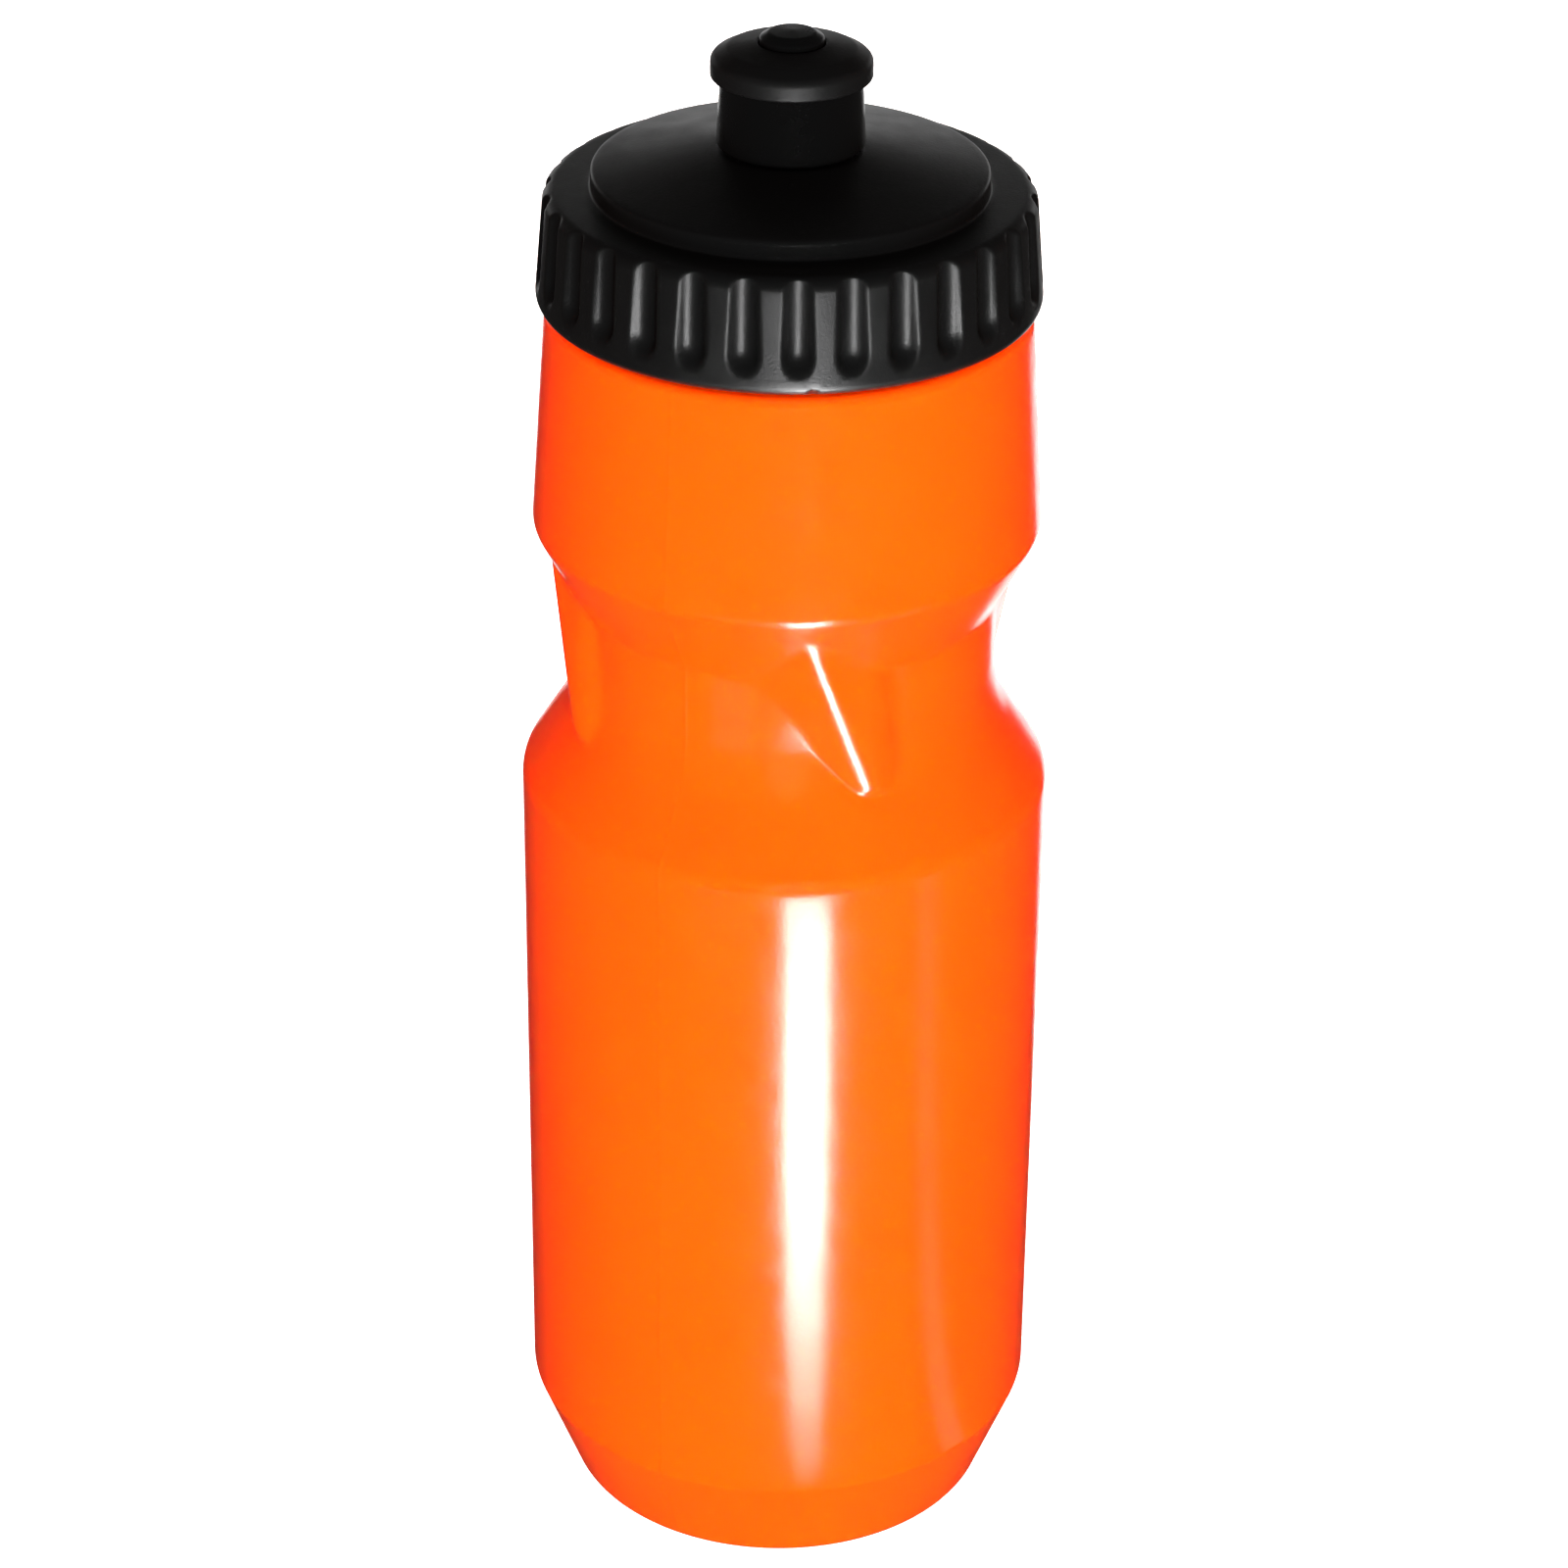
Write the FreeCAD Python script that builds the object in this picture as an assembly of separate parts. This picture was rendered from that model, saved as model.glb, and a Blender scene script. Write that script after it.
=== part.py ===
import FreeCAD, Part
import math
import os

# Sports squeeze bottle with a screw lid and a push-pull drinking nozzle.
# Millimetres, +Z up, origin at the centre of the base, -Y is the front.
# The lid is screwed home and the nozzle is pushed shut.

# ---- squeeze bottle: outside shape ----
BARREL_R = 36.5
BASE_R = 30.7
TAPER_TOP_Z = 15.0
BARREL_TOP_Z = 114.8
WAIST_R = 28.8
WAIST_LOW_Z = 127.0
WAIST_HIGH_Z = 142.0
UPPER_R = 34.5
UPPER_LOW_Z = 152.8
SHOULDER_R = 32.45
SHOULDER_Z = 183.6
WALL = 1.3
FLOOR = 1.6
PUSH_UP = 3.2
PUSH_UP_R = 20.0
FOOT_INNER_R = 25.0

# ---- squeeze bottle: the four twisted grip ridges round the waist ----
RIDGE_COUNT = 4
CREST_TOP = (6.2, 32.7, 148.9)        # degrees right of the front, radius, height
CREST_LOW = (21.4, 31.5, 125.6)
LEFT_FOOT = (4.6, 28.8, 134.2)
RIGHT_BEND = (24.5, 30.6, 134.4)
RIGHT_FOOT_TOP = (28.4, 28.8, 141.4)
RIGHT_FOOT_LOW = (34.0, 28.8, 128.1)
RIDGE_HIGH_Z = 154.0
RIDGE_END_Z = 124.9
RIDGE_END_INSET = 1.5                  # how much higher the hollow's ridge ends, per millimetre of inset
LEFT_FACET_WIDTH = 14.0
STEEP_FACET_WIDTH = 7.0
CREST_ROUND = 2.0
BEND_ROUND = 3.0

# ---- neck and screw thread ----
NECK_R = 28.7
NECK_BORE_R = 27.3
RIM_Z = 197.2
THREAD_LEAD = 6.0
THREAD_EMBED = 0.25
NECK_THREAD_R = 30.2
NECK_THREAD_LOW_Z = 187.4
NECK_THREAD_TURNS = 1.25
LID_THREAD_R = 29.1
LID_THREAD_LOW_Z = 187.6
LID_THREAD_TURNS = 1.0
THREAD_ROOT_WIDTH = 2.2
THREAD_CREST_WIDTH = 1.0

# ---- lid ----
LID_LOW_Z = 184.5
LID_LOW_R = 33.7
LID_TOP_R = 32.4
LID_TOP_Z = 199.8
LID_BORE_R = 30.6
LID_CEILING_Z = 198.4
DISC_R = 26.2
DISC_FOOT_Z = 200.0
DISC_EDGE_Z = 202.45
HUB_R = 9.9
HUB_Z = 205.65
PLATE_THICK = 1.8
PLUG_RING_R = 26.4
PLUG_RING_BORE_R = 24.4
PLUG_RING_LOW_Z = 195.5

# ---- grip grooves of the lid ----
GROOVE_COUNT = 30
GROOVE_FIRST_ANGLE = 2.1
GROOVE_WIDTH = 4.1
GROOVE_DEPTH = 1.4                     # at the lower end
GROOVE_RUN_OUT_DEPTH = 0.8
GROOVE_LOW_Z = 187.45
GROOVE_RUN_OUT_Z = 203.0

# ---- gasket ----
GASKET_R = 30.0
GASKET_BORE_R = 26.9

# ---- spout tube of the lid, and the post in it ----
TUBE_R = 6.6
TUBE_BORE_R = 5.3
TUBE_TOP_Z = 215.0
BEAD_R = 7.6
BEAD_LOW_Z = 213.6
POST_R = 2.2
POST_FLANGE_R = 6.4
POST_FLANGE_THICK = 1.2
POST_RING_BORE_R = 4.4
POST_RING_HEIGHT = 3.0
POST_SPOKES = 3
POST_SPOKE_WIDTH = 1.5
PLUG_R = 4.25
PLUG_LOW_Z = 217.0
PLUG_RIM_Z = 220.3
PLUG_TOP_Z = 221.2

# ---- nozzle: hard sleeve and soft bite head ----
STEM_LOW_Z = 205.85
STEM_LOW_R = 9.8
STEM_TOP_R = 9.3
STEM_TOP_Z = 215.1
RUNNING_GAP = 0.05
LIP_TOP_Z = 207.6
SLEEVE_CEILING_Z = 215.7
SLEEVE_TOP_Z = 217.3
SLEEVE_HOLE_R = 5.4
KEY_WAIST_R = 8.1
KEY_RIB_R = 8.6
HEAD_R = 10.6
HEAD_WALL_TOP_Z = 217.7
HEAD_DOME_R = 8.4
HEAD_DOME_Z = 218.85
HEAD_HOLE_R = 4.5
HEAD_HOLE_Z = 219.65
HEAD_LIP_LOW_Z = 217.1

AXIS = FreeCAD.Vector(0, 0, 1)
ORIGIN = FreeCAD.Vector(0, 0, 0)


def in_section(radius, height):
    """A point of the half section that is turned round the axis."""
    return FreeCAD.Vector(radius, 0, height)


def at_angle(degrees, radius, height):
    """A point on the bottle, with its angle measured from the front towards the right."""
    turn = math.radians(degrees)
    return FreeCAD.Vector(radius * math.sin(turn), -radius * math.cos(turn), height)


def corner_arc(before, corner, after, rounding):
    """Start, middle and end of the arc that rounds one corner of an outline."""
    back = (before - corner).normalize()
    ahead = (after - corner).normalize()
    half_angle = back.getAngle(ahead) / 2
    reach = rounding / math.tan(half_angle)
    centre = corner + (back + ahead).normalize() * (rounding / math.sin(half_angle))
    middle = centre + (corner - centre).normalize() * rounding
    return corner + back * reach, middle, corner + ahead * reach


def turned(corners):
    """Solid of revolution from (radius, height, rounding) corners of a closed half section."""
    points = [in_section(radius, height) for radius, height, _ in corners]
    count = len(points)
    stretches = []
    for index, (_, _, rounding) in enumerate(corners):
        point = points[index]
        if rounding:
            stretches.append(corner_arc(points[index - 1], point, points[(index + 1) % count], rounding))
        else:
            stretches.append((point,))
    edges = []
    for index, stretch in enumerate(stretches):
        if len(stretch) == 3:
            edges.append(Part.Arc(*stretch).toShape())
        following = stretches[(index + 1) % count][0]
        if stretch[-1].distanceToPoint(following) > 1e-6:
            edges.append(Part.makeLine(stretch[-1], following))
    return Part.Face(Part.Wire(edges)).revolve(ORIGIN, AXIS, 360)


def tube(outer_radius, bore_radius, low, high):
    return turned([(bore_radius, low, 0), (outer_radius, low, 0), (outer_radius, high, 0), (bore_radius, high, 0)])


def around(shape, count):
    """Copies of a shape, evenly spaced round the axis."""
    copies = []
    for index in range(count):
        copy = shape.copy()
        copy.rotate(ORIGIN, AXIS, index * 360 / count)
        copies.append(copy)
    return copies


def thread_ridge(wall_radius, crest_radius, low, turns, start_angle):
    """A right-hand screw ridge that stands on a wall and reaches to crest_radius."""
    outward = 1 if crest_radius > wall_radius else -1
    root_radius = wall_radius - outward * THREAD_EMBED
    helix = Part.makeHelix(THREAD_LEAD, THREAD_LEAD * turns, root_radius)
    section = Part.makePolygon([
        in_section(root_radius, -THREAD_ROOT_WIDTH / 2),
        in_section(crest_radius, -THREAD_CREST_WIDTH / 2),
        in_section(crest_radius, THREAD_CREST_WIDTH / 2),
        in_section(root_radius, THREAD_ROOT_WIDTH / 2),
        in_section(root_radius, -THREAD_ROOT_WIDTH / 2),
    ])
    ridge = Part.Wire(helix).makePipeShell([section], True, True)
    ridge.rotate(ORIGIN, AXIS, start_angle)
    ridge.translate(AXIS * low)
    return ridge


def facet(corners, inset):
    """Outward normal and offset of the flat facet through three corners."""
    first, second, third = [at_angle(angle, radius - inset, height) for angle, radius, height in corners]
    normal = (second - first).cross(third - first).normalize()
    if normal.x * first.x + normal.y * first.y < 0:
        normal = -normal
    return normal, normal.dot(first)


def facets_meet(one, other, height):
    """The point at a height where two facets cross."""
    (a, a_offset), (b, b_offset) = one, other
    a_reach = a_offset - a.z * height
    b_reach = b_offset - b.z * height
    scale = a.x * b.y - a.y * b.x
    x = (a_reach * b.y - b_reach * a.y) / scale
    y = (a.x * b_reach - b.x * a_reach) / scale
    return FreeCAD.Vector(x, y, height)


def along_facet(one, width):
    """Level step of a width along a facet, to the right of the way it faces."""
    normal = one[0]
    return FreeCAD.Vector(-normal.y, normal.x, 0).normalize() * width


def grip_ridge(inset):
    """One twisted ridge: a flat left facet, a rounded leaning crest, a bent right flank and a blunt end."""
    left = facet((CREST_TOP, CREST_LOW, LEFT_FOOT), inset)
    right = facet((CREST_TOP, CREST_LOW, RIGHT_BEND), inset)
    steep = facet((RIGHT_FOOT_TOP, RIGHT_FOOT_LOW, RIGHT_BEND), inset)
    low = RIDGE_END_Z + RIDGE_END_INSET * inset
    sections = []
    for height in (low, RIDGE_HIGH_Z):
        crest = facets_meet(left, right, height)
        bend = facets_meet(right, steep, height)
        foot_left = crest - along_facet(left, LEFT_FACET_WIDTH)
        foot_right = bend + along_facet(steep, STEEP_FACET_WIDTH)
        sections.append(Part.makePolygon([crest, foot_left, foot_right, bend, crest]))
    wedge = Part.makeLoft(sections, True, True)
    middle = (low + RIDGE_HIGH_Z) / 2
    for pair, rounding in (((left, right), CREST_ROUND), ((right, steep), BEND_ROUND)):
        on_edge = Part.Vertex(facets_meet(*pair, middle))
        edges = [edge for edge in wedge.Edges if edge.distToShape(on_edge)[0] < 1e-6]
        wedge = wedge.makeFillet(rounding, edges)
    return wedge


def bottle_form(inset, lift, top):
    """The bottle's outside, or its hollow when the sides are set in and the floor is lifted."""
    plain = turned([
        (0, PUSH_UP + lift, 0),
        (PUSH_UP_R, PUSH_UP + lift, 4),
        (FOOT_INNER_R, lift, 1.5),
        (BASE_R - inset, lift, 0.8),
        (BARREL_R - inset, TAPER_TOP_Z, 3),
        (BARREL_R - inset, BARREL_TOP_Z, 5),
        (WAIST_R - inset, WAIST_LOW_Z, 16),
        (WAIST_R - inset, WAIST_HIGH_Z, 3),
        (UPPER_R - inset, UPPER_LOW_Z, 3),
        (SHOULDER_R - inset, top, 1.4),
        (0, top, 0),
    ])
    return plain.fuse(around(grip_ridge(inset), RIDGE_COUNT))


def bottle_body():
    outside = bottle_form(0, 0, SHOULDER_Z)
    hollow = bottle_form(WALL, FLOOR, SHOULDER_Z - WALL)
    neck = turned([
        (0, SHOULDER_Z - WALL, 0),
        (NECK_R, SHOULDER_Z - WALL, 0),
        (NECK_R, RIM_Z, 0.4),
        (0, RIM_Z, 0),
    ])
    thread = thread_ridge(NECK_R, NECK_THREAD_R, NECK_THREAD_LOW_Z, NECK_THREAD_TURNS, 0)
    bore = Part.makeCylinder(NECK_BORE_R, RIM_Z, in_section(0, SHOULDER_Z - 2 * WALL))
    return outside.fuse([neck, thread]).cut([hollow, bore])


def lid_gasket():
    return tube(GASKET_R, GASKET_BORE_R, RIM_Z, LID_CEILING_Z)


def skirt_radius(height):
    """Radius of the lid's drafted side at a height."""
    share = (height - LID_LOW_Z) / (LID_TOP_Z - LID_LOW_Z)
    return LID_LOW_R + share * (LID_TOP_R - LID_LOW_R)


def grip_groove():
    """Cutter for one groove: a round bar that leans out of the skirt, with a ball at its lower end."""
    half_width = GROOVE_WIDTH / 2
    bar_radius = (half_width ** 2 + GROOVE_DEPTH ** 2) / (2 * GROOVE_DEPTH)
    low = GROOVE_LOW_Z + half_width
    start, end = [
        at_angle(GROOVE_FIRST_ANGLE, skirt_radius(height) + bar_radius - depth, height)
        for height, depth in ((low, GROOVE_DEPTH), (GROOVE_RUN_OUT_Z, GROOVE_RUN_OUT_DEPTH))
    ]
    bar = Part.makeCylinder(bar_radius, start.distanceToPoint(end), start, end - start)
    return bar.fuse(Part.makeSphere(bar_radius, start))


def screw_lid():
    shell = turned([
        (LID_BORE_R, LID_LOW_Z, 0.3),
        (LID_LOW_R, LID_LOW_Z, 1.3),
        (LID_TOP_R, LID_TOP_Z, 1.8),
        (DISC_R, DISC_FOOT_Z, 0.3),
        (DISC_R, DISC_EDGE_Z, 0.6),
        (HUB_R, HUB_Z, 2),
        (TUBE_R, HUB_Z, 0.3),
        (TUBE_R, BEAD_LOW_Z, 0.2),
        (BEAD_R, BEAD_LOW_Z + 0.3, 0.3),
        (BEAD_R, TUBE_TOP_Z, 0.5),
        (TUBE_BORE_R, TUBE_TOP_Z, 0.3),
        (TUBE_BORE_R, HUB_Z - PLATE_THICK, 0),
        (HUB_R, HUB_Z - PLATE_THICK, 2),
        (PLUG_RING_BORE_R, DISC_EDGE_Z - PLATE_THICK, 1),
        (PLUG_RING_BORE_R, PLUG_RING_LOW_Z, 0.4),
        (PLUG_RING_R, PLUG_RING_LOW_Z, 0.8),
        (PLUG_RING_R, LID_CEILING_Z, 0),
        (LID_BORE_R, LID_CEILING_Z, 0),
    ])
    thread = thread_ridge(LID_BORE_R, LID_THREAD_R, LID_THREAD_LOW_Z, LID_THREAD_TURNS, 180)
    return shell.fuse(thread).cut(around(grip_groove(), GROOVE_COUNT))


def valve_post():
    flange_top = HUB_Z - PLATE_THICK
    flange_low = flange_top - POST_FLANGE_THICK
    ring_top = flange_top + POST_RING_HEIGHT
    ring = turned([
        (POST_RING_BORE_R, flange_low, 0.2),
        (POST_FLANGE_R, flange_low, 0.3),
        (POST_FLANGE_R, flange_top, 0),
        (TUBE_BORE_R, flange_top, 0),
        (TUBE_BORE_R, ring_top, 0.3),
        (POST_RING_BORE_R, ring_top, 0.2),
    ])
    stalk = turned([
        (0, flange_low, 0),
        (POST_R, flange_low, 0.4),
        (POST_R, PLUG_LOW_Z - 1.6, 1),
        (PLUG_R, PLUG_LOW_Z, 0.3),
        (PLUG_R, PLUG_RIM_Z, 0.5),
        (PLUG_R - 1.2, PLUG_TOP_Z - 0.15, 1),
        (0, PLUG_TOP_Z, 0),
    ])
    spoke_length = (POST_RING_BORE_R + TUBE_BORE_R) / 2
    spoke = Part.makeBox(spoke_length, POST_SPOKE_WIDTH, ring_top - flange_low - 0.6)
    spoke.translate(FreeCAD.Vector(0, -POST_SPOKE_WIDTH / 2, flange_low + 0.3))
    return ring.fuse([stalk] + around(spoke, POST_SPOKES))


def sleeve_key():
    """Corners of the hard rim that the soft head is moulded over, from its foot inwards."""
    return [
        (KEY_WAIST_R, STEM_TOP_Z, 0),
        (KEY_WAIST_R, STEM_TOP_Z + 0.7, 0),
        (KEY_RIB_R, STEM_TOP_Z + 1.0, 0),
        (KEY_RIB_R, SLEEVE_TOP_Z - 0.5, 0),
        (KEY_RIB_R - 0.5, SLEEVE_TOP_Z, 0),
        (SLEEVE_HOLE_R, SLEEVE_TOP_Z, 0),
    ]


def nozzle_sleeve():
    lip_bore = TUBE_R + RUNNING_GAP
    relief_bore = BEAD_R + RUNNING_GAP
    return turned([
        (lip_bore, STEM_LOW_Z, 0.3),
        (STEM_LOW_R, STEM_LOW_Z, 0.6),
        (STEM_TOP_R, STEM_TOP_Z, 0),
    ] + sleeve_key() + [
        (SLEEVE_HOLE_R, SLEEVE_CEILING_Z, 0.3),
        (relief_bore, SLEEVE_CEILING_Z, 0.3),
        (relief_bore, LIP_TOP_Z + 0.3, 0.2),
        (lip_bore, LIP_TOP_Z, 0.2),
    ])


def bite_head():
    lip_bore = PLUG_R + RUNNING_GAP
    return turned(list(reversed(sleeve_key())) + [
        (HEAD_R, STEM_TOP_Z, 0.35),
        (HEAD_R, HEAD_WALL_TOP_Z, 1.3),
        (HEAD_DOME_R, HEAD_DOME_Z, 2),
        (HEAD_HOLE_R, HEAD_HOLE_Z, 0.15),
        (lip_bore, HEAD_HOLE_Z - 0.3, 0),
        (lip_bore, HEAD_LIP_LOW_Z, 0),
        (SLEEVE_HOLE_R, HEAD_LIP_LOW_Z - 0.6, 0),
    ])


NODES = {
    "bottle_body": bottle_body,
    "lid_gasket": lid_gasket,
    "screw_lid": screw_lid,
    "valve_post": valve_post,
    "nozzle_sleeve": nozzle_sleeve,
    "bite_head": bite_head,
}

os.makedirs("parts", exist_ok=True)
for node, make in NODES.items():
    make().exportStep(f"parts/{node}.step")
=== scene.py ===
"""Looks of the sports squeeze bottle: skins, plastics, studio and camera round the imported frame."""

import math

import bpy
import bmesh
import numpy as np
from mathutils import Euler, Matrix, Vector


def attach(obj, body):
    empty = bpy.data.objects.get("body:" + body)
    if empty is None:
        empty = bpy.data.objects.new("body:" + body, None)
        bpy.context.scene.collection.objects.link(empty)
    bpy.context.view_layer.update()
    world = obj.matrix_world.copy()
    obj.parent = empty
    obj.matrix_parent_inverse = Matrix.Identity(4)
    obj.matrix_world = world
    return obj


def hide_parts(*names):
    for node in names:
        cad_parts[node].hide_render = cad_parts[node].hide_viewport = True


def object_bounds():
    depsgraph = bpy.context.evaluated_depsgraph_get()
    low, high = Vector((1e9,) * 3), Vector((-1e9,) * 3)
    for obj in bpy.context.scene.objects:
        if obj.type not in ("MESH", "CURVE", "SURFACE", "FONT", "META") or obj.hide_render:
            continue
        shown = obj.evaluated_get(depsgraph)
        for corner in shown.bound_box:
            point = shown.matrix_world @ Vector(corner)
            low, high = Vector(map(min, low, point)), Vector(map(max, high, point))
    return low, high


MM = 0.001

# ---- squeeze bottle, in millimetres, as the frame has it ----
BARREL_R = 36.5
BASE_R = 30.7
TAPER_TOP_Z = 15.0
BARREL_TOP_Z = 114.8
WAIST_R = 28.8
WAIST_LOW_Z = 127.0
WAIST_HIGH_Z = 142.0
UPPER_R = 34.5
UPPER_LOW_Z = 152.8
SHOULDER_R = 32.45
SHOULDER_Z = 183.6
WALL = 1.3
FLOOR = 1.6
PUSH_UP = 3.2
PUSH_UP_R = 20.0
FOOT_INNER_R = 25.0
NECK_R = 28.7
NECK_BORE_R = 27.3
RIM_Z = 197.2

# ---- twisted grip ridges: degrees right of the front, radius, height ----
RIDGE_COUNT = 4
CREST_TOP = (6.2, 32.7, 148.9)
CREST_LOW = (21.4, 31.5, 125.6)
LEFT_FOOT = (4.6, 28.8, 134.2)
RIGHT_BEND = (24.5, 30.6, 134.4)
RIGHT_FOOT_TOP = (28.4, 28.8, 141.4)
RIGHT_FOOT_LOW = (34.0, 28.8, 128.1)
RIDGE_END_Z = 125.2
RIDGE_END_SLOPE = 1.1
RIDGE_SPAN_Z = (118.0, 155.5)
CREST_BLEND = 1.9
BEND_BLEND = 0.9
END_BLEND = 1.2
LEFT_FOOT_BLEND = 0.35
RIGHT_FOOT_BLEND = 0.7
FOOT_BLEND_REACH = 4.0
FACET_FALL = 0.02

# ---- mould parting line of the bottle ----
PARTING_ANGLE = -27.2
PARTING_HEIGHT = 0.05
PARTING_WIDTH = 0.22
PARTING_COLUMNS = (-0.6, -0.45, -0.3, -0.15, 0, 0.15, 0.3, 0.45, 0.6)

# ---- screw thread ----
THREAD_LEAD = 6.0
THREAD_ROOT_WIDTH = 2.2
THREAD_CREST_WIDTH = 1.0
NECK_THREAD = {"height": 1.5, "low": 187.4, "turns": 1.25, "start": 90.0}
LID_THREAD = {"height": -1.5, "low": 187.6, "turns": 1.0, "start": 270.0}

# ---- lid ----
LID_LOW_Z = 184.5
LID_LOW_R = 33.7
LID_TOP_R = 32.4
LID_TOP_Z = 199.8
LID_BORE_R = 30.6
LID_CEILING_Z = 198.4
DISC_R = 26.2
DISC_FOOT_Z = 200.0
DISC_EDGE_Z = 202.45
HUB_R = 9.9
HUB_Z = 205.65
PLATE_THICK = 1.8
PLUG_RING_R = 26.4
PLUG_RING_BORE_R = 24.4
PLUG_RING_LOW_Z = 195.5
GROOVE_COUNT = 30
GROOVE_FIRST_ANGLE = 2.1
GROOVE_WIDTH = 4.1
GROOVE_DEPTH = 1.4                     # at the lower end
GROOVE_RUN_OUT_DEPTH = 0.8
GROOVE_LOW_Z = 187.45
GROOVE_RUN_OUT_Z = 203.0
GROOVE_EDGE_BLEND = 0.22
NO_GROOVE_R = 100

# ---- mark of the mould's gate on the lid's lower edge ----
GATE_ANGLE = 5.5
GATE_Z = 185.0
GATE_DEPTH = 0.45
GATE_SPREAD = 0.5

# ---- spout tube, nozzle and post ----
TUBE_R = 6.6
TUBE_BORE_R = 5.3
TUBE_TOP_Z = 215.0
BEAD_R = 7.6
BEAD_LOW_Z = 213.6
STEM_LOW_Z = 205.85
STEM_LOW_R = 9.8
STEM_TOP_R = 9.3
STEM_TOP_Z = 215.1
RUNNING_GAP = 0.05
LIP_TOP_Z = 207.6
SLEEVE_CEILING_Z = 215.7
SLEEVE_TOP_Z = 217.3
SLEEVE_HOLE_R = 5.4
KEY_WAIST_R = 8.1
KEY_RIB_R = 8.6
HEAD_R = 10.6
HEAD_WALL_TOP_Z = 217.7
HEAD_DOME_R = 8.4
HEAD_DOME_Z = 218.85
HEAD_HOLE_R = 4.5
HEAD_HOLE_Z = 219.65
HEAD_LIP_LOW_Z = 217.1
PLUG_R = 4.25

# ---- mesh fineness: (longest step along straights, along round arcs), and columns round the axis ----
BOTTLE_OUTSIDE_STEPS = (0.9, 0.35)
BOTTLE_INSIDE_STEPS = (3.0, 1.2)
LID_STEPS = (0.7, 0.25)
SLEEVE_STEPS = (0.6, 0.12)
HEAD_STEPS = (0.25, 0.12)
BOTTLE_COLUMNS = 540
COLUMNS_PER_GROOVE = 20
SLEEVE_COLUMNS = 192
HEAD_COLUMNS = 288

# ---- camera: the photograph's viewing angle ----
VIEW_PITCH = 28.79
VIEW_ROLL = 0.62
VIEW_DISTANCE = 0.6406
VIEW_LENS = 104.94

# ---- finishes ----
DEEP_ORANGE = (1.0, 0.061, 0.0006)
LIGHT_ORANGE = (1.0, 0.07, 0.001)
NOISE_MIDDLE = (0.3, 0.7)              # the range that most of a noise lies in

# ---- studio, in metres ----
FLOOR_REACH = 4
FLOOR_GLOW = 0.97
CARD_HEIGHT = 0.0005
BACKDROP_Y = 1.3
BACKDROP_REACH = 1
BACKDROP_Z = (0.02, 0.45)
BACKDROP_GLOW = 0.9
AMBIENT = 0.04
WALL_GLOW = (1.0, 0.25, 0.08)          # light that the translucent wall carries round to its sides


# ---- glowing cards on the floor: name, azimuth, near and far (distance, width) in metres, strength ----
LIGHT_CARDS = (
    ("front_card_near", 10, (0.060, 0.008), (0.075, 0.014), 5),
    ("front_card_middle", 10, (0.075, 0.014), (0.095, 0.022), 12),
    ("front_card_broad", 10, (0.095, 0.022), (0.120, 0.031), 24),
    ("front_card_far", 10, (0.120, 0.031), (0.235, 0.072), 40),
    ("waist_card", -27, (0.255, 0.090), (0.310, 0.110), 0.8),
    ("side_card", 61, (0.050, 0.008), (0.300, 0.040), 0.6),
    ("back_card_near", 180, (0.015, 0.078), (0.400, 0.240), 1.5),
    ("back_card_far", 180, (0.400, 0.240), (0.900, 1.000), 1.5),
    ("back_right_card", 158, (0.045, 0.015), (0.450, 0.150), 2),
)


# ------------------------------------------------------------------ shapes

def rounded_outline(corners, run_step, arc_step, closed=False):
    """Points (radius, height) along an outline of (radius, height, rounding) corners."""
    points = [Vector((radius, height)) for radius, height, _ in corners]
    count = len(points)
    stretches = []
    for index, (_, _, rounding) in enumerate(corners):
        corner = points[index]
        at_end = not closed and index in (0, count - 1)
        if at_end or not rounding:
            stretches.append([corner])
            continue
        back = (points[index - 1] - corner).normalized()
        ahead = (points[(index + 1) % count] - corner).normalized()
        half_angle = back.angle(ahead) / 2
        reach = rounding / math.tan(half_angle)
        centre = corner + (back + ahead).normalized() * (rounding / math.sin(half_angle))
        start = corner + back * reach - centre
        sweep = start.angle_signed(corner + ahead * reach - centre)
        steps = max(2, math.ceil(abs(sweep) * rounding / arc_step))
        turns = [Matrix.Rotation(-sweep * step / steps, 2) for step in range(steps + 1)]
        stretches.append([centre + turn @ start for turn in turns])
    path = []
    for index, stretch in enumerate(stretches):
        path.extend(stretch)
        if not closed and index == count - 1:
            break
        run_start = stretch[-1]
        run_end = stretches[(index + 1) % count][0]
        pieces = math.ceil((run_end - run_start).length / run_step)
        path.extend(run_start.lerp(run_end, step / pieces) for step in range(1, pieces))
    return path


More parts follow.
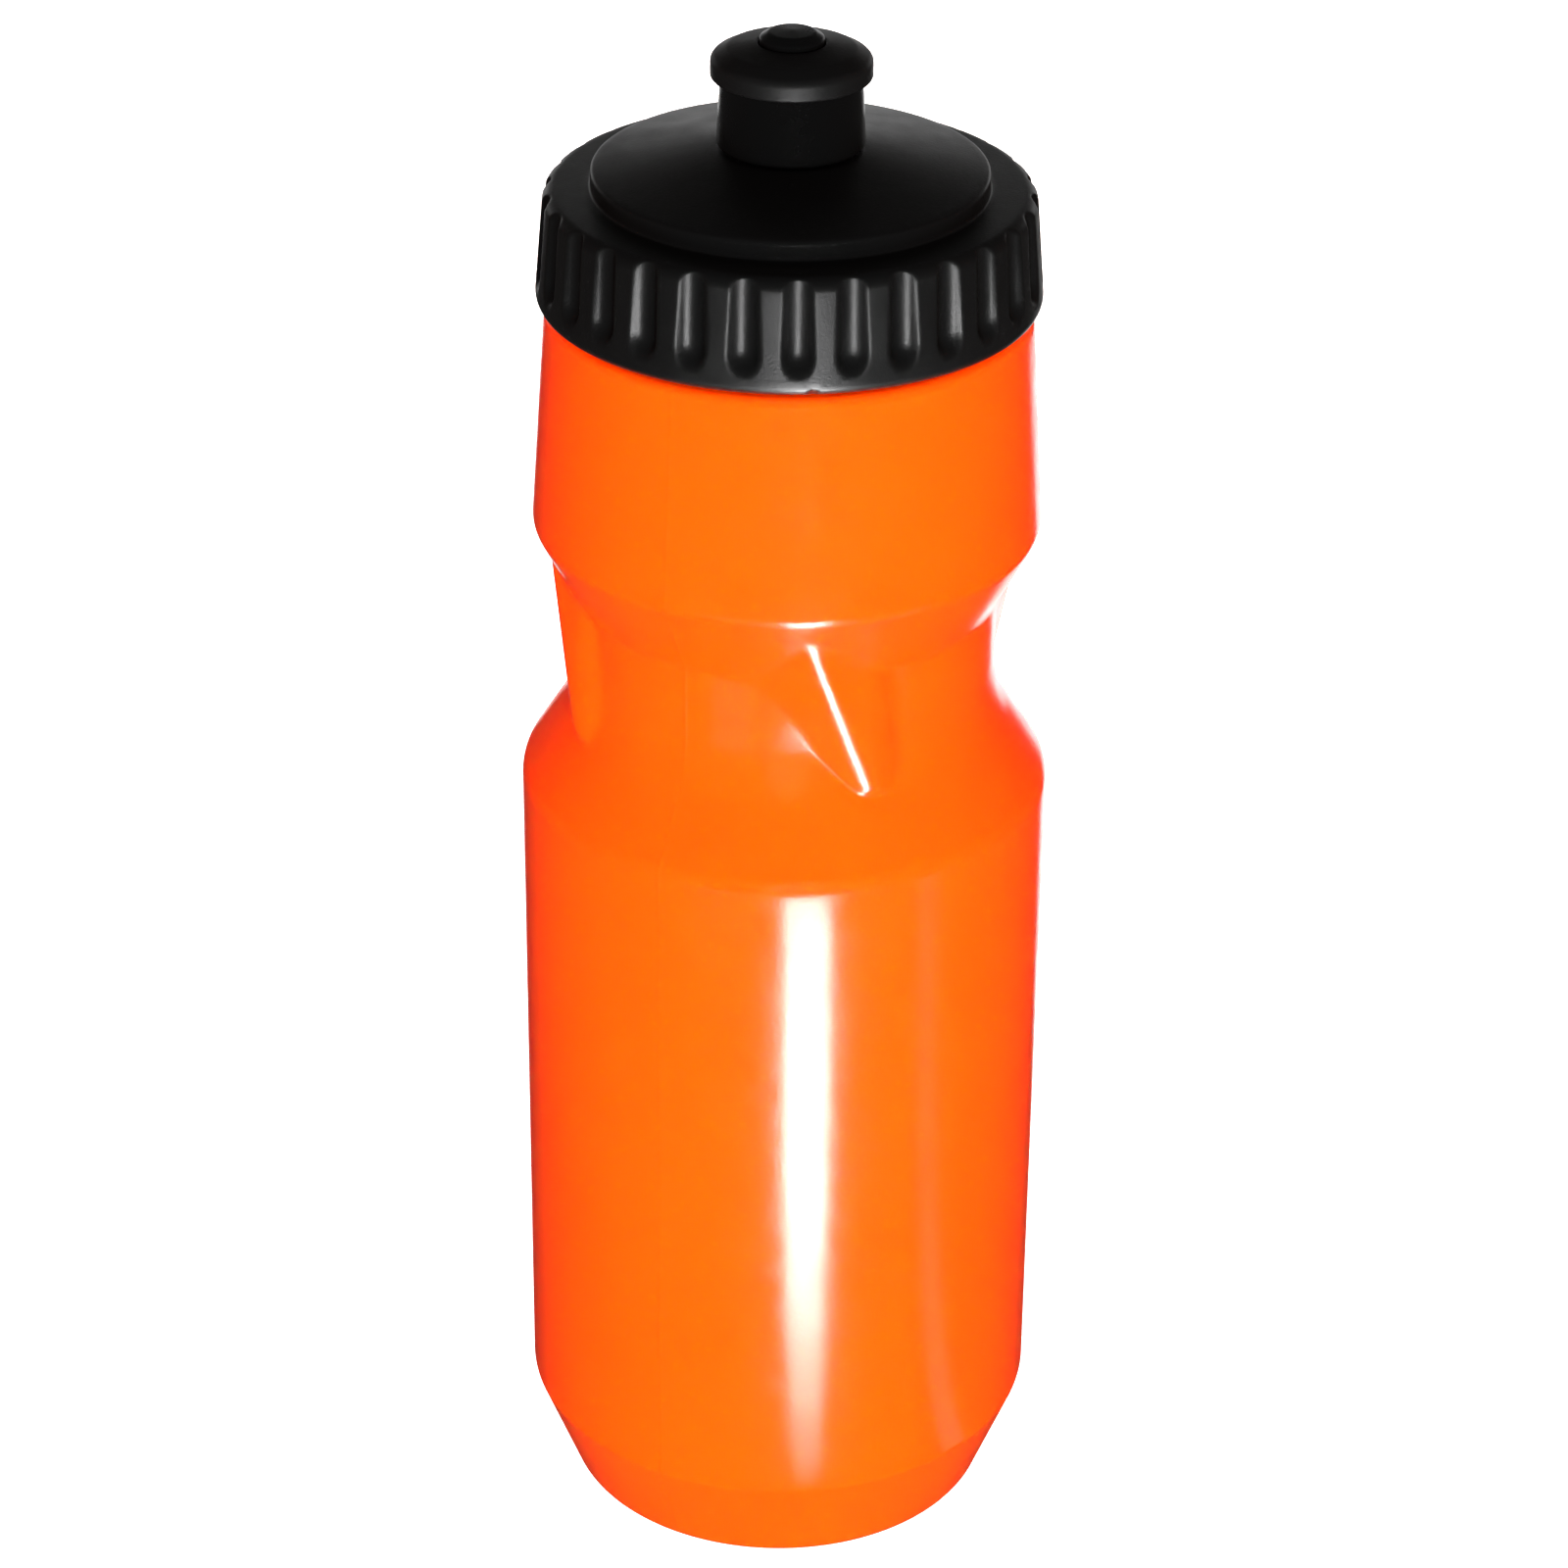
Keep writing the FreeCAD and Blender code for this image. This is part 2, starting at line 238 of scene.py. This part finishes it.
def turned_skin(name, path, angles, shape=None, closed=False):
    """Mesh of an outline turned round the axis; shape(radius, height, angle) gives the radius that shows."""
    radius, angle = np.meshgrid([point.x for point in path], angles, indexing="ij")
    height = np.repeat([[point.y] for point in path], len(angles), axis=1)
    if shape:
        radius = shape(radius, height, angle)
    turn = np.radians(angle)
    vertices = np.stack([radius * np.sin(turn), -radius * np.cos(turn), height], axis=-1).reshape(-1, 3) * MM
    rings, columns = len(path), len(angles)
    faces = []
    for ring in range(rings if closed else rings - 1):
        low = ring * columns
        high = (ring + 1) % rings * columns
        for column in range(columns):
            following = (column + 1) % columns
            faces.append((low + column, low + following, high + following, high + column))
    mesh = bpy.data.meshes.new(name)
    mesh.from_pydata(vertices.tolist(), [], faces)
    weld = bmesh.new()
    weld.from_mesh(mesh)
    bmesh.ops.remove_doubles(weld, verts=weld.verts, dist=1e-6)
    bmesh.ops.recalc_face_normals(weld, faces=weld.faces)
    weld.to_mesh(mesh)
    weld.free()
    mesh.shade_smooth()
    piece = bpy.data.objects.new(name, mesh)
    bpy.context.collection.objects.link(piece)
    return piece


def smooth_max(a, b, blend):
    """The larger of two values, with the crease between them rounded over blend."""
    overlap = np.clip(blend - np.abs(a - b), 0, None)
    return np.maximum(a, b) + overlap ** 2 / (4 * blend)


def smooth_min(a, b, blend):
    """The smaller of two values, rounded over in the same way."""
    return -smooth_max(-a, -b, blend)


def angle_apart(angle, other):
    """Signed difference of two angles in degrees, from -180 to 180."""
    return (angle - other + 180) % 360 - 180


def at_angle(degrees, radius, height):
    """Point at an angle to the right of the front."""
    turn = math.radians(degrees)
    return np.array([radius * math.sin(turn), -radius * math.cos(turn), height])


def facet_radius(corners, side, angle, height):
    """Radius of the flat facet through three corners; it dies away past its own foot."""
    first, second, third = (at_angle(*corner) for corner in corners)
    normal = np.cross(second - first, third - first)
    normal *= math.copysign(1, normal[:2] @ first[:2])
    foot = math.degrees(math.atan2(normal[0], -normal[1]))
    past = np.clip(side * (angle - foot), 0, None)
    inward = np.clip(side * (foot - angle), 0, 89)
    closest = (normal @ first - normal[2] * height) / math.hypot(normal[0], normal[1])
    return closest / np.cos(np.radians(inward)) - FACET_FALL * past ** 2


def ridge_radius(angle, height):
    """Radius of one twisted ridge, and the blend at its foot.

    It has a flat left facet, a bent right flank and a blunt lower end.
    """
    left = facet_radius((CREST_TOP, CREST_LOW, LEFT_FOOT), -1, angle, height)
    right = facet_radius((CREST_TOP, CREST_LOW, RIGHT_BEND), 1, angle, height)
    steep = facet_radius((RIGHT_FOOT_TOP, RIGHT_FOOT_LOW, RIGHT_BEND), 1, angle, height)
    end = CREST_LOW[1] + (height - RIDGE_END_Z) * RIDGE_END_SLOPE
    flank = smooth_min(right, steep, BEND_BLEND)
    ridge = smooth_min(smooth_min(left, flank, CREST_BLEND), end, END_BLEND)
    share = np.clip((left - flank) / FOOT_BLEND_REACH + 0.5, 0, 1)
    return ridge, LEFT_FOOT_BLEND + share * (RIGHT_FOOT_BLEND - LEFT_FOOT_BLEND)


def with_grip_ridges(radius, height, angle):
    """The bottle's radius with the twisted ridges standing on its waist."""
    low_z, high_z = RIDGE_SPAN_Z
    shaped = radius
    for index in range(RIDGE_COUNT):
        ridge, blend = ridge_radius(angle_apart(angle, index * 360 / RIDGE_COUNT), height)
        ridge = np.where((height > low_z) & (height < high_z), ridge, 0)
        shaped = smooth_max(shaped, ridge, blend)
    return shaped


def parting_line(radius, height, angle):
    """Height of the fine line that the two mould halves leave down both sides."""
    line = 0
    for turn in (0, 180):
        reach = radius * np.radians(angle_apart(angle, PARTING_ANGLE + turn))
        line = line + PARTING_HEIGHT * np.exp(-(reach / PARTING_WIDTH) ** 2)
    return line


def thread_height(height, angle, thread):
    """How far the screw ridge stands off its wall."""
    ridge = 0
    along = (angle - thread["start"]) % 360
    end = thread["turns"] * 360
    for lap in range(math.ceil(thread["turns"])):
        travel = along + lap * 360
        away = np.abs(height - thread["low"] - THREAD_LEAD * travel / 360)
        flank = (THREAD_ROOT_WIDTH / 2 - away) / ((THREAD_ROOT_WIDTH - THREAD_CREST_WIDTH) / 2)
        ridge = np.maximum(ridge, np.where(travel <= end, np.clip(flank, 0, 1), 0))
    return ridge * thread["height"]


def even_angles(count):
    """Angles of evenly spaced columns, in degrees."""
    return np.arange(count) * 360 / count


def bottle_angles():
    """Even columns, with finer ones across the two parting lines."""
    fine = np.array(PARTING_COLUMNS)
    lines = np.concatenate([(PARTING_ANGLE + turn + fine) % 360 for turn in (0, 180)])
    even = even_angles(BOTTLE_COLUMNS)
    clear = [np.abs(angle_apart(lines, angle)).min() > 0.2 for angle in even]
    return np.sort(np.concatenate([even[clear], lines]))


def bottle_side(inset):
    """Corners of the bottle's side, from the foot ring up to the shoulder."""
    return [
        (BARREL_R - inset, TAPER_TOP_Z, 3),
        (BARREL_R - inset, BARREL_TOP_Z, 5),
        (WAIST_R - inset, WAIST_LOW_Z, 16),
        (WAIST_R - inset, WAIST_HIGH_Z, 3),
        (UPPER_R - inset, UPPER_LOW_Z, 3),
    ]


def make_bottle():
    """Bottle outside and inside, with its ridges, parting lines and neck thread."""
    outer = [(0, PUSH_UP, 0), (PUSH_UP_R, PUSH_UP, 4), (FOOT_INNER_R, 0, 1.5), (BASE_R, 0, 0.8)]
    outer += bottle_side(0)
    outer += [(SHOULDER_R, SHOULDER_Z, 1.4), (NECK_R, SHOULDER_Z, 0.3), (NECK_R, RIM_Z, 0.4)]
    inner = [(NECK_BORE_R, RIM_Z, 0.3), (NECK_BORE_R, SHOULDER_Z - WALL, 0.3)]
    inner += [(SHOULDER_R - WALL, SHOULDER_Z - WALL, 1.4)]
    inner += list(reversed(bottle_side(WALL)))
    inner += [(BASE_R - WALL, FLOOR, 0.8), (FOOT_INNER_R, FLOOR, 1.5)]
    inner += [(PUSH_UP_R, PUSH_UP + FLOOR, 4), (0, PUSH_UP + FLOOR, 0)]
    # The two outlines meet on the rim: each borrows the other's corner there, and drops it again.
    outer.append((NECK_BORE_R, RIM_Z, 0))
    outside = rounded_outline(outer, *BOTTLE_OUTSIDE_STEPS)[:-1]
    inside = rounded_outline([(NECK_R, RIM_Z, 0)] + inner, *BOTTLE_INSIDE_STEPS)[1:]
    columns = bottle_angles()
    outside_rings = len(outside)

    def shape(radius, height, angle):
        inset = np.zeros(len(radius))
        inset[outside_rings:] = WALL
        inset = inset[:, None]
        side = (height > FLOOR) & (radius > FOOT_INNER_R)
        shaped = with_grip_ridges(radius + inset, height, angle) - inset
        outer_face = (inset == 0) & side
        shaped = np.where(side, shaped, radius)
        shaped = shaped + np.where(outer_face, parting_line(radius, height, angle), 0)
        on_neck = outer_face & (height > SHOULDER_Z + 0.5) & (height < RIM_Z - 0.5)
        return shaped + np.where(on_neck, thread_height(height, angle, NECK_THREAD), 0)

    return turned_skin("bottle_skin", outside + inside, columns, shape)


def skirt_radius(height):
    """Radius of the lid's drafted side at a height."""
    share = (height - LID_LOW_Z) / (LID_TOP_Z - LID_LOW_Z)
    return LID_LOW_R + share * (LID_TOP_R - LID_LOW_R)


def groove_radius(height, angle):
    """Radius of the floors of the round-bottomed grip grooves, or NO_GROOVE_R between them."""
    half_width = GROOVE_WIDTH / 2
    bar_radius = (half_width ** 2 + GROOVE_DEPTH ** 2) / (2 * GROOVE_DEPTH)
    low = GROOVE_LOW_Z + half_width
    share = np.clip((height - low) / (GROOVE_RUN_OUT_Z - low), 0, 1)
    depth = GROOVE_DEPTH + share * (GROOVE_RUN_OUT_DEPTH - GROOVE_DEPTH)
    bar_axis = skirt_radius(height) + bar_radius - depth
    pitch = 360 / GROOVE_COUNT
    local = np.radians((angle - GROOVE_FIRST_ANGLE + pitch / 2) % pitch - pitch / 2)
    below = np.clip(low - height, 0, None)
    reach = bar_radius ** 2 - below ** 2 - (bar_axis * np.sin(local)) ** 2
    cut = bar_axis * np.cos(local) - np.sqrt(np.clip(reach, 0, None))
    return np.where(reach > 0, cut, NO_GROOVE_R)


def gate_mark(radius, height, angle):
    """Depth of the small nick that the gate left in the lower edge."""
    sideways = np.radians(angle_apart(angle, GATE_ANGLE)) * radius
    distance = np.hypot(sideways, height - GATE_Z) / GATE_SPREAD
    return GATE_DEPTH * np.exp(-distance ** 2)


def make_lid():
    """Lid with its disc, spout tube, plug ring, grip grooves and inside thread."""
    path = rounded_outline([
        (LID_BORE_R, LID_LOW_Z, 0.3),
        (LID_LOW_R, LID_LOW_Z, 1.3),
        (LID_TOP_R, LID_TOP_Z, 1.8),
        (DISC_R, DISC_FOOT_Z, 0.3),
        (DISC_R, DISC_EDGE_Z, 0.6),
        (HUB_R, HUB_Z, 2),
        (TUBE_R, HUB_Z, 0.3),
        (TUBE_R, BEAD_LOW_Z, 0.2),
        (BEAD_R, BEAD_LOW_Z + 0.3, 0.3),
        (BEAD_R, TUBE_TOP_Z, 0.5),
        (TUBE_BORE_R, TUBE_TOP_Z, 0.3),
        (TUBE_BORE_R, HUB_Z - PLATE_THICK, 0),
        (HUB_R, HUB_Z - PLATE_THICK, 2),
        (PLUG_RING_BORE_R, DISC_EDGE_Z - PLATE_THICK, 1),
        (PLUG_RING_BORE_R, PLUG_RING_LOW_Z, 0.4),
        (PLUG_RING_R, PLUG_RING_LOW_Z, 0.8),
        (PLUG_RING_R, LID_CEILING_Z, 0),
        (LID_BORE_R, LID_CEILING_Z, 0),
    ], *LID_STEPS, closed=True)
    last_outer = max(index for index, point in enumerate(path) if point.x > LID_BORE_R + 0.1)

    def shape(radius, height, angle):
        outside = np.arange(len(radius))[:, None] <= last_outer
        grooved = smooth_min(radius, groove_radius(height, angle), GROOVE_EDGE_BLEND)
        grooved = grooved - gate_mark(radius, height, angle)
        threaded = radius + thread_height(height, angle, LID_THREAD)
        on_wall = (np.abs(radius - LID_BORE_R) < 0.01) & (height > LID_LOW_Z + 0.5)
        return np.where(outside, grooved, np.where(on_wall, threaded, radius))

    return turned_skin("lid_skin", path, even_angles(GROOVE_COUNT * COLUMNS_PER_GROOVE), shape, closed=True)


def sleeve_key():
    """Corners of the hard rim that the soft head is moulded over, from its foot inwards."""
    return [
        (KEY_WAIST_R, STEM_TOP_Z, 0),
        (KEY_WAIST_R, STEM_TOP_Z + 0.7, 0),
        (KEY_RIB_R, STEM_TOP_Z + 1.0, 0),
        (KEY_RIB_R, SLEEVE_TOP_Z - 0.5, 0),
        (KEY_RIB_R - 0.5, SLEEVE_TOP_Z, 0),
        (SLEEVE_HOLE_R, SLEEVE_TOP_Z, 0),
    ]


def make_sleeve():
    """Hard stem of the nozzle, with its two bores."""
    lip_bore = TUBE_R + RUNNING_GAP
    relief_bore = BEAD_R + RUNNING_GAP
    path = rounded_outline([
        (lip_bore, STEM_LOW_Z, 0.3),
        (STEM_LOW_R, STEM_LOW_Z, 0.6),
        (STEM_TOP_R, STEM_TOP_Z, 0),
    ] + sleeve_key() + [
        (SLEEVE_HOLE_R, SLEEVE_CEILING_Z, 0.3),
        (relief_bore, SLEEVE_CEILING_Z, 0.3),
        (relief_bore, LIP_TOP_Z + 0.3, 0.2),
        (lip_bore, LIP_TOP_Z, 0.2),
    ], *SLEEVE_STEPS, closed=True)
    return turned_skin("nozzle_sleeve_skin", path, even_angles(SLEEVE_COLUMNS), closed=True)


def make_head():
    """Soft mushroom head with the hole that the plug closes."""
    lip_bore = PLUG_R + RUNNING_GAP
    path = rounded_outline(list(reversed(sleeve_key())) + [
        (HEAD_R, STEM_TOP_Z, 0.35),
        (HEAD_R, HEAD_WALL_TOP_Z, 1.3),
        (HEAD_DOME_R, HEAD_DOME_Z, 2),
        (HEAD_HOLE_R, HEAD_HOLE_Z, 0.15),
        (lip_bore, HEAD_HOLE_Z - 0.3, 0),
        (lip_bore, HEAD_LIP_LOW_Z, 0),
        (SLEEVE_HOLE_R, HEAD_LIP_LOW_Z - 0.6, 0),
    ], *HEAD_STEPS, closed=True)
    return turned_skin("bite_head_skin", path, even_angles(HEAD_COLUMNS), closed=True)


# --------------------------------------------------------------- materials

class Recipe:
    """A node material being put together round one Principled shader."""

    def __init__(self, name):
        self.material = bpy.data.materials.new(name)
        self.material.use_nodes = True
        self.tree = self.material.node_tree
        self.shader = self.tree.nodes["Principled BSDF"]
        self.place = self.node("ShaderNodeTexCoord").outputs["Object"]

    def node(self, kind, **settings):
        made = self.tree.nodes.new(kind)
        for name, value in settings.items():
            setattr(made, name, value)
        return made

    def link(self, source, target):
        self.tree.links.new(source, target)

    def noise(self, cell, detail=3.0, roughness=0.5):
        """Noise whose cells are about this many metres across."""
        made = self.node("ShaderNodeTexNoise")
        made.inputs["Scale"].default_value = 1 / cell
        made.inputs["Detail"].default_value = detail
        made.inputs["Roughness"].default_value = roughness
        self.link(self.place, made.inputs["Vector"])
        return made.outputs["Fac"]

    def colour(self, share, first, second):
        """Base colour between two, as share goes from 0 to 1."""
        made = self.node("ShaderNodeMix", data_type="RGBA")
        made.inputs[6].default_value = (*first, 1)
        made.inputs[7].default_value = (*second, 1)
        self.link(share, made.inputs[0])
        self.link(made.outputs[2], self.shader.inputs["Base Color"])

    def gloss(self, source, low, high):
        """Roughness between two values, spread over the middle of a noise's range."""
        made = self.node("ShaderNodeMapRange")
        made.inputs["From Min"].default_value, made.inputs["From Max"].default_value = NOISE_MIDDLE
        made.inputs["To Min"].default_value = low
        made.inputs["To Max"].default_value = high
        self.link(source, made.inputs["Value"])
        self.link(made.outputs["Result"], self.shader.inputs["Roughness"])

    def bumps(self, *layers):
        """Chains bump layers of (source, strength, height in metres) into the shader's normal."""
        previous = None
        for source, strength, distance in layers:
            made = self.node("ShaderNodeBump")
            made.inputs["Strength"].default_value = strength
            made.inputs["Distance"].default_value = distance
            self.link(source, made.inputs["Height"])
            if previous:
                self.link(previous, made.inputs["Normal"])
            previous = made.outputs["Normal"]
        self.link(previous, self.shader.inputs["Normal"])

    def set(self, **values):
        for name, value in values.items():
            self.shader.inputs[name.replace("_", " ")].default_value = value


def bottle_plastic():
    """Glossy translucent orange with a fine pebbled skin."""
    recipe = Recipe("orange_soft_polyethylene")
    recipe.set(IOR=1.5, Subsurface_Weight=0.8, Subsurface_Scale=0.003)
    recipe.set(Subsurface_Radius=(1.0, 0.25, 0.06))
    recipe.colour(recipe.noise(0.035, detail=2), DEEP_ORANGE, LIGHT_ORANGE)
    recipe.gloss(recipe.noise(0.004), 0.16, 0.24)
    skin_grain = (recipe.noise(0.0006, detail=1), 1.0, 0.000016)
    slow_waves = (recipe.noise(0.005, detail=1), 1.0, 0.00003)
    recipe.bumps(skin_grain, slow_waves)
    return recipe.material


def moulded_black(name, tone, smoothest, roughest, grain, grain_height):
    """Black plastic or rubber: roughness between two values, over a fine mould grain in metres."""
    recipe = Recipe(name)
    recipe.colour(recipe.noise(0.012), (tone * 0.85,) * 3, (tone * 1.15,) * 3)
    recipe.gloss(recipe.noise(0.005), smoothest, roughest)
    recipe.bumps((recipe.noise(grain, detail=2, roughness=0.6), 0.6, grain_height))
    return recipe.material


def gasket_rubber():
    """Pale matt rubber of the seal ring."""
    recipe = Recipe("pale_seal_rubber")
    recipe.set(Roughness=0.6)
    recipe.colour(recipe.noise(0.01), (0.5, 0.5, 0.48), (0.6, 0.6, 0.58))
    recipe.bumps((recipe.noise(0.0006), 0.4, 0.00003))
    return recipe.material


def floor_paint():
    """White light table with no shine."""
    recipe = Recipe("pale_light_table")
    recipe.set(Specular_IOR_Level=0, Emission_Color=(1, 1, 1, 1), Emission_Strength=FLOOR_GLOW)
    recipe.colour(recipe.noise(0.5), (0.78, 0.78, 0.78), (0.82, 0.82, 0.82))
    return recipe.material


def wear(piece, material):
    """Gives a piece one material in every slot."""
    piece.data.materials.clear()
    piece.data.materials.append(material)


# ------------------------------------------------------------------ studio

def make_camera(target):
    """Camera that looks down at the target from the front."""
    data = bpy.data.cameras.new("view_camera")
    data.lens = VIEW_LENS
    data.sensor_width = 36
    camera = bpy.data.objects.new("view_camera", data)
    pitch = math.radians(VIEW_PITCH)
    turn = Euler((math.pi / 2 - pitch, 0, 0)).to_matrix() @ Matrix.Rotation(math.radians(VIEW_ROLL), 3, "Z")
    camera.matrix_world = Matrix.Translation(
        target + Vector((0, -math.cos(pitch), math.sin(pitch))) * VIEW_DISTANCE
    ) @ turn.to_4x4()
    bpy.context.collection.objects.link(camera)
    bpy.context.scene.camera = camera


def direction(azimuth, elevation):
    """Unit vector at an angle round the object; azimuth 0 is the front, 90 the right."""
    turn, rise = math.radians(azimuth), math.radians(elevation)
    return Vector((math.sin(turn) * math.cos(rise), -math.cos(turn) * math.cos(rise), math.sin(rise)))


def soft_box(name, azimuth, elevation, distance, size, power, target):
    """An area light at an angle round the object, aimed at it."""
    away = direction(azimuth, elevation)
    data = bpy.data.lights.new(name, "AREA")
    data.shape = "RECTANGLE"
    data.size, data.size_y = size
    data.energy = power
    light = bpy.data.objects.new(name, data)
    light.location = target + away * distance
    light.rotation_euler = away.to_track_quat("Z", "Y").to_euler()
    light.visible_camera = False
    bpy.context.collection.objects.link(light)
    return light


def shine_only_on(light, pieces):
    """Limits a light to some pieces."""
    chosen = bpy.data.collections.new(light.name + "_pieces")
    for piece in pieces:
        chosen.objects.link(piece)
    light.light_linking.receiver_collection = chosen


def glow(name, strength):
    """Plain white light-giving material."""
    recipe = Recipe(name)
    recipe.set(Base_Color=(0, 0, 0, 1), Emission_Color=(1, 1, 1, 1), Emission_Strength=strength)
    return recipe.material


def flat_sheet(name, corners, material):
    """One face that belongs to the studio and not to the object."""
    mesh = bpy.data.meshes.new(name)
    mesh.from_pydata(corners, [], [tuple(range(len(corners)))])
    sheet = bpy.data.objects.new(name, mesh)
    bpy.context.collection.objects.link(sheet)
    wear(sheet, material)
    return sheet


def light_card(name, azimuth, near, far, strength):
    """Glowing card just above the floor that shows only as a gloss; near and far are (distance, width)."""
    ahead = direction(azimuth, 0)
    across = direction(azimuth + 90, 0)
    lift = Vector((0, 0, CARD_HEIGHT))
    corners = [
        lift + ahead * distance + across * width / 2 * side
        for (distance, width), sides in ((near, (-1, 1)), (far, (1, -1)))
        for side in sides
    ]
    card = flat_sheet(name, corners, glow(name, strength))
    card.visible_camera = False
    card.visible_diffuse = False
    card.visible_transmission = False
    card.visible_shadow = False


def make_floor():
    """White floor that only the camera sees."""
    reach = FLOOR_REACH
    corners = [(-reach, -reach, 0), (reach, -reach, 0), (reach, reach, 0), (-reach, reach, 0)]
    floor = flat_sheet("studio_floor", corners, floor_paint())
    floor.visible_glossy = False
    floor.visible_diffuse = False
    floor.visible_shadow = False


def make_world():
    """White behind the object, and a dim even light on it."""
    world = bpy.data.worlds.new("studio_world")
    world.use_nodes = True
    tree = world.node_tree
    dim = tree.nodes["Background"]
    dim.inputs["Color"].default_value = (1, 1, 1, 1)
    dim.inputs["Strength"].default_value = AMBIENT
    white = tree.nodes.new("ShaderNodeBackground")
    white.inputs["Color"].default_value = (1, 1, 1, 1)
    path = tree.nodes.new("ShaderNodeLightPath")
    choice = tree.nodes.new("ShaderNodeMixShader")
    tree.links.new(path.outputs["Is Camera Ray"], choice.inputs[0])
    tree.links.new(dim.outputs[0], choice.inputs[1])
    tree.links.new(white.outputs[0], choice.inputs[2])
    tree.links.new(choice.outputs[0], tree.nodes["World Output"].inputs["Surface"])
    bpy.context.scene.world = world


def light_the_body(target):
    """Broad front and rear light, and the warm glow on both sides."""
    boxes = [
        soft_box("key_box", 4, 4, 1.0, (0.4, 0.5), 34, target),
        soft_box("rear_box", 180, 20, 1.0, (0.8, 0.5), 18, target),
    ]
    for side, azimuth in (("left", -105), ("right", 105)):
        fill = soft_box(side + "_fill", azimuth, 15, 1.0, (0.4, 0.5), 9, target)
        fill.data.color = WALL_GLOW
        boxes.append(fill)
    for box in boxes:
        box.visible_glossy = False


def light_the_lid(pieces):
    """A low light in front that draws the streaks in the lid's grooves."""
    lid_middle = Vector((0, 0, (LID_LOW_Z + LID_TOP_Z) / 2 * MM))
    box = soft_box("lid_box", 6, -26.5, 0.425, (0.16, 0.10), 1.2, lid_middle)
    shine_only_on(box, pieces)


def make_backdrop():
    """Pale wall far behind, which shows only as a gloss on the lid."""
    low, high = BACKDROP_Z
    corners = [
        (-BACKDROP_REACH, BACKDROP_Y, low),
        (BACKDROP_REACH, BACKDROP_Y, low),
        (BACKDROP_REACH, BACKDROP_Y, high),
        (-BACKDROP_REACH, BACKDROP_Y, high),
    ]
    backdrop = flat_sheet("backdrop", corners, glow("backdrop", BACKDROP_GLOW))
    backdrop.visible_camera = False
    backdrop.visible_diffuse = False


# ------------------------------------------------------------------- build

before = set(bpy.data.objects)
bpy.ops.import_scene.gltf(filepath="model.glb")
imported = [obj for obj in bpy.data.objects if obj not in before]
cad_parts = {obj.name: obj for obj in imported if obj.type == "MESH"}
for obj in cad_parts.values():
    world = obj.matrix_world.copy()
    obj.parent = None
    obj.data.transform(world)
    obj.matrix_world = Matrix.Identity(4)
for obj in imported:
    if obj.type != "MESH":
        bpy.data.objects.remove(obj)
cad_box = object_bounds()
middle = Vector((0, 0, (cad_box[0][2] + cad_box[1][2]) / 2))

bpy.context.scene.view_settings.view_transform = "Standard"

orange = bottle_plastic()
lid_black = moulded_black("black_lid_plastic", 0.0016, 0.32, 0.4, 0.0004, 0.00004)
sleeve_black = moulded_black("black_sleeve_plastic", 0.001, 0.24, 0.32, 0.0005, 0.00001)
bite_black = moulded_black("black_bite_rubber", 0.002, 0.42, 0.55, 0.00045, 0.00004)
post_black = moulded_black("black_post_plastic", 0.001, 0.25, 0.33, 0.0005, 0.00001)

SKINS = (
    (make_bottle, "bottle", "bottle_body", "bottle_plastic", orange),
    (make_lid, "lid", "screw_lid", "lid_plastic", lid_black),
    (make_sleeve, "nozzle", "nozzle_sleeve", "sleeve_plastic", sleeve_black),
    (make_head, "nozzle", "bite_head", "bite_rubber", bite_black),
)
satin_pieces = []
for make, body, node, slot, material in SKINS:
    skin = make()
    if material in (lid_black, bite_black):
        satin_pieces.append(skin)
    wear(skin, material)
    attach(skin, body)
    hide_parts(node)

for node, material in (("valve_post", post_black), ("lid_gasket", gasket_rubber())):
    wear(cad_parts[node], material)

make_floor()
make_world()
light_the_body(middle)
light_the_lid(satin_pieces)
for card in LIGHT_CARDS:
    light_card(*card)
make_backdrop()
make_camera(middle)
